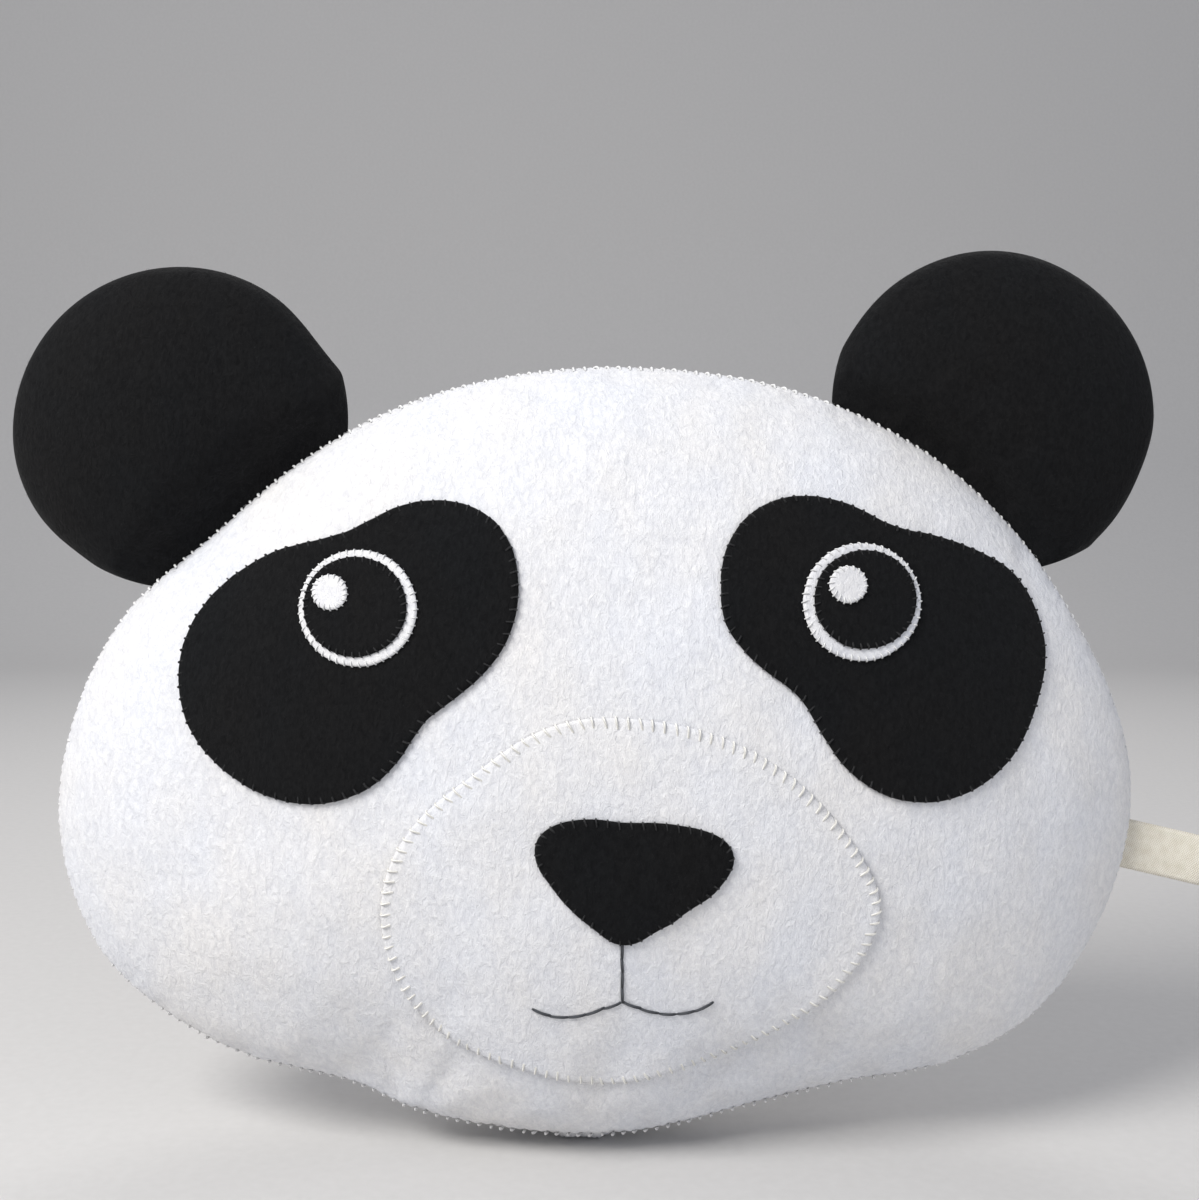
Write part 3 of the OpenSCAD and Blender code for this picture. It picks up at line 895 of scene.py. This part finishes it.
def strokes_of(node):
    """The middle lines of the separate threads of a piece, as (x, z) points in order."""
    mesh = frame["nodes"][node].data
    points = mesh_points(mesh)
    key = {tuple(p): i for i, p in reversed(list(enumerate(points.round(6))))}
    group = np.array([key[tuple(p)] for p in points.round(6)])
    changed = True
    while changed:
        changed = False
        for polygon in mesh.polygons:
            ring = list(polygon.vertices)
            low = group[ring].min()
            if (group[ring] != low).any():
                group[np.isin(group, group[ring])] = low
                changed = True
    lines = []
    for number in sorted(set(group)):
        cloud = np.unique(points[group == number].round(6), axis=0)
        middle = cloud.mean(0)
        flat = (cloud - middle)[:, [0, 2]]
        along = flat @ np.linalg.eigh(np.cov(flat.T))[1][:, 1]
        rings = cloud[np.argsort(along)][:, [0, 2]]
        rings = rings[:len(rings) // 6 * 6].reshape(-1, 6, 2)
        lines.append(rings.mean(1))
    return lines


holes, across, up = [], [], []
for line in strokes_of("mouth_stitches"):
    ends = line[[0, -1]] - line[[1, -2]]
    line[[0, -1]] += mouth_reach * ends / np.hypot(*ends.T)[:, None]
    if np.ptp(line[:, 0]) < np.ptp(line[:, 1]):
        line[line[:, 1].argmax(), 1] = nose_edge[:, 1].min() + under_nose
    way = np.concatenate([[0], np.cumsum(np.hypot(*np.diff(line, axis=0).T))])
    count = max(2, round(way[-1] / mouth_stitch))
    for k in range(count):
        ends = [
            np.array([np.interp(way[-1] * (k + e) / count, way, line[:, c]) for c in (0, 1)])
            for e in (0.03, 0.97)
        ]
        low, high = (face_at(*p)[0] for p in ends)
        spot, out = face_at(*((ends[0] + ends[1]) / 2))
        run = high - low
        run -= out * (run @ out)
        holes.append(spot + out * (first_lift + muzzle_felt))
        across.append(run / np.linalg.norm(run))
        up.append(out)
half = mouth_stitch / 2
sew(
    "mouth", holes, across, up,
    ((-half, 0, -0.0002), (-0.75 * half, 0, 0.0005), (0.75 * half, 0, 0.0005), (half, 0, -0.0002)),
    mouth_radius, 0.02, 0.05, 41, "grey_thread",
)


# ---- Ears ----
# Two round cushions of black felt, sewn inside out and turned, so their edge seam is
# smooth. The open end of each is squeezed flat and caught in the seam of the head.

ear_felt = 0.0012
tuck = 0.0016
ear_rim = 190
clear_of_head = 0.014
squeezed = 0.0013  # half the thickness of the ear where it is caught in the seam
joints = {joint["name"]: joint for joint in frame["joints"]}


def ear(side, seed):
    nodes = (side + "_ear_front", side + "_ear_back")
    shown = evenly(outline_of(nodes[0]), 170)
    shown = shown[depth_inside(shown, head_edge)[0] < -clear_of_head]
    centre = (shown.min(0) + shown.max(0)) / 2
    turn, far = np.arctan2(*(shown - centre).T[::-1]), np.hypot(*(shown - centre).T)
    round_ear = np.linspace(-pi, pi, ear_rim, endpoint=False)
    radius = np.interp(round_ear, turn, far, period=2 * pi)
    edge = centre + radius[:, None] * np.column_stack([np.cos(round_ear), np.sin(round_ear)])
    in_head, step = depth_inside(edge, head_edge)
    head_in = inward(head_edge)
    steps = np.arange(len(head_edge) + 1)
    step_in = np.column_stack([
        np.interp(step, steps, np.append(head_in[:, k], head_in[0, k])) for k in (0, 1)
    ])
    root = in_head > tuck
    edge[root] -= step_in[root] * (in_head[root] - tuck)[:, None]
    edge = evenly(edge, ear_rim, False)
    flat, faces, inside = cut_felt(edge, ((0.0008, 1), (0.0022, 1)), 0.0042)
    off_head = -depth_inside(flat, head_edge)[0]
    grip = np.clip((off_head - 0.0005) / 0.011, 0, 1)
    grip = grip * grip * (3 - 2 * grip)
    halves = []
    for way, node in ((-1, nodes[0]), (1, nodes[1])):
        outer = outside_of(node)
        high = []
        for x, z in flat:
            spot = outer.ray_cast(Vector((x, way * 0.1, z)), Vector((0, -way, 0)))[0]
            high.append(abs(spot.y) if spot else 0.0017)
        high = np.array(high)
        high = squeezed + (high - squeezed) * grip
        high *= np.clip(inside / 0.0022, 0, 1) ** 0.5
        halves.append(np.column_stack([flat[:, 0], way * (high + 0.00004), flat[:, 1]]))
    points = np.vstack(halves)
    count, rim = len(flat), len(edge)
    still = [
        i for i in range(2 * count) if inside[i % count] == 0 or off_head[i % count] < 0.004
    ]
    points = swell(points, lens(faces, count, rim), still, most=0.004, grow=0.008)
    pieces = []
    for node, way, low, turned in ((nodes[0], -1, 0, False), (nodes[1], 1, count, True)):
        shape = [(a, c, b) for a, b, c in faces] if turned else faces
        half = rounded(add_mesh(node + "_felt", points[low:low + count], shape, black_felt))
        at, out = mesh_points(half.data), mesh_normals(half.data)
        calm = np.clip(depth_inside(at[:, [0, 2]], edge)[0] / 0.008, 0, 1)[:, None]
        at += (uneven(at, out, 0.03, 0.0007, seed + low) - at) * calm
        set_points(half.data, at)
        nap = napped(
            node + "_nap", half, (0, way, 0), 22, 0.0014, 0.5, seed, black_fibre
        )
        thickened(half, ear_felt)
        pieces.append((half, node, nap))
    hinge = joints[side + "_ear_fold"]
    middle, axis = Vector(hinge["pos_m"]), Vector(hinge["axis"]).normalized()
    away = Vector((-axis.z, 0, axis.x))
    away *= 1 if away.z > 0 else -1
    for half, node, nap in pieces:
        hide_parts(node)
        for fabric in (half, nap):
            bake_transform(fabric)


for side, seed in (("left", 51), ("right", 61)):
    ear(side, seed)
    stuffing(
        side + "_ear_stuffing_fibre", outline_of(side + "_ear_front"),
        side + "_ear_front", side + "_ear_back", 0.9, 0.82, side + "_ear", 0.0,
    )


# ---- Seam of the head ----
# White whipstitches go round the raw edges of both panels, 3 mm apart all the way round,
# and hold the ears and the label between them.

seam_thread = 0.00038
seam_holes, seam_out = [], []
edge_seam = seam_at("head_front", head_edge)
for (x, z), y, step_in in list(zip(head_edge, edge_seam, inward(head_edge)))[::2]:
    seam_holes.append((x, y, z))
    seam_out.append((-step_in[0], 0, -step_in[1]))
reach, rise, dip = 0.0032, 0.0003, 0.0011
sew(
    "head_seam", seam_holes, [(0, -1, 0)] * len(seam_holes), seam_out,
    ((-reach, 0, -dip), (-reach, 0, rise), (reach, 0, rise), (reach, 0, -dip)),
    seam_thread, 0.15, 0.12, 71, "white_thread",
)


# ---- Label ----
# A strip of unbleached cotton tape, folded in two. Its raw ends are caught in the seam
# and its fold hangs free.

tape_thick = 0.0004
label_hinge = joints["label_flap"]
label_root = Vector(label_hinge["pos_m"])
label_up = Vector(label_hinge["axis"]).normalized()
label_way = Vector((label_up.z, 0, -label_up.x))
tape_points = mesh_points(frame["nodes"]["label"].data) - np.array(label_root)
tape_long = (tape_points @ np.array(label_way)).max()
tape_wide = np.ptp(tape_points @ np.array(label_up))
tape_in = 0.0055
loop = 0.0005


def tape_material():
    """Plain-woven cotton tape: warp over weft, with a firm edge on each side, and painted shade
    where each thread dips under the next.
    """
    made, tree, skin = new_finish("cotton_tape", 0.85, 0.2, 0.1)
    cloth = add_node(tree, "ShaderNodeUVMap", uv_map="tape").outputs["UV"]
    apart = add_node(tree, "ShaderNodeSeparateXYZ", {0: cloth})
    waves = []
    for axis, threads_per_metre in (("X", 1100), ("Y", 1500)):
        scaled = add_node(tree, "ShaderNodeMath", {
            0: apart.outputs[axis], 1: 2 * pi * threads_per_metre,
        }, operation="MULTIPLY")
        wave = add_node(tree, "ShaderNodeMath", {0: scaled.outputs[0]}, operation="SINE")
        waves.append(wave.outputs[0])
    crossing = add_node(
        tree, "ShaderNodeMath", {0: waves[0], 1: waves[1]}, operation="MULTIPLY"
    ).outputs[0]
    weave_height_and_painted_shade = add_node(
        tree, "ShaderNodeMapRange", {"From Min": -1, "Value": crossing}
    ).outputs["Result"]
    # Darker where the threads dip under each other: painted shade in the hollows of the weave,
    # mixed with a random grain of tone. The same weave gives the relief.
    mixed = add_node(
        tree, "ShaderNodeMix", {"Factor": 0.5, "A": weave_height_and_painted_shade, "B": grain(tree, cloth, 400)}
    ).outputs["Result"]
    weave = add_node(tree, "ShaderNodeBump", {"Distance": 0.00015, "Height": weave_height_and_painted_shade})
    dress(tree, skin, toned(tree, mixed, (0.66, 0.6, 0.48), (0.88, 0.84, 0.74), 0.25, 0.7), weave)
    return made


straight = tape_long - loop - tape_thick / 2 + tape_in
bow = [(-tape_in + straight * t, -loop) for t in np.linspace(0, 1, 19)]
bow += [
    (straight - tape_in + loop * np.sin(turn), -loop * np.cos(turn))
    for turn in np.linspace(0, pi, 9)[1:-1]
]
bow += [(-tape_in + straight * t, loop) for t in np.linspace(1, 0, 19)]
bow = np.array(bow)
run_out = np.concatenate([[0], np.cumsum(np.hypot(*np.diff(bow, axis=0).T))])
rows = 12
tape_cut = tape_wide - 0.0002
tape_net, tape_faces = [], []
for i, (out, aside) in enumerate(bow):
    for j in range(rows + 1):
        share = j / rows - 0.5
        gape = 1 + 0.5 * np.clip(out / tape_long, 0, 1) * np.sin(pi * (share + 0.5))
        wave = 0.0009 * np.clip(out / tape_long, 0, 1) ** 2 * np.cos(2.2 * share)
        along = out + 0.00012 * np.sin(9 * share)
        point = label_root + label_way * along + label_up * (share * tape_cut)
        tape_net.append((point.x, aside * gape - wave, point.z))
for i in range(len(bow) - 1):
    for j in range(rows):
        a = i * (rows + 1) + j
        tape_faces.append((a, a + 1, a + rows + 2, a + rows + 1))
label = add_mesh("label_tape", tape_net, tape_faces, tape_material())
cloth_map = label.data.uv_layers.new(name="tape")
for loop_number, corner in enumerate(label.data.loops):
    i, j = divmod(corner.vertex_index, rows + 1)
    cloth_map.data[loop_number].uv = (j / rows * tape_wide, run_out[i])
wall = label.modifiers.new("tape", "SOLIDIFY")
wall.thickness = tape_thick
wall.offset = 0
finished(label)
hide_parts("label")
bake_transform(label)
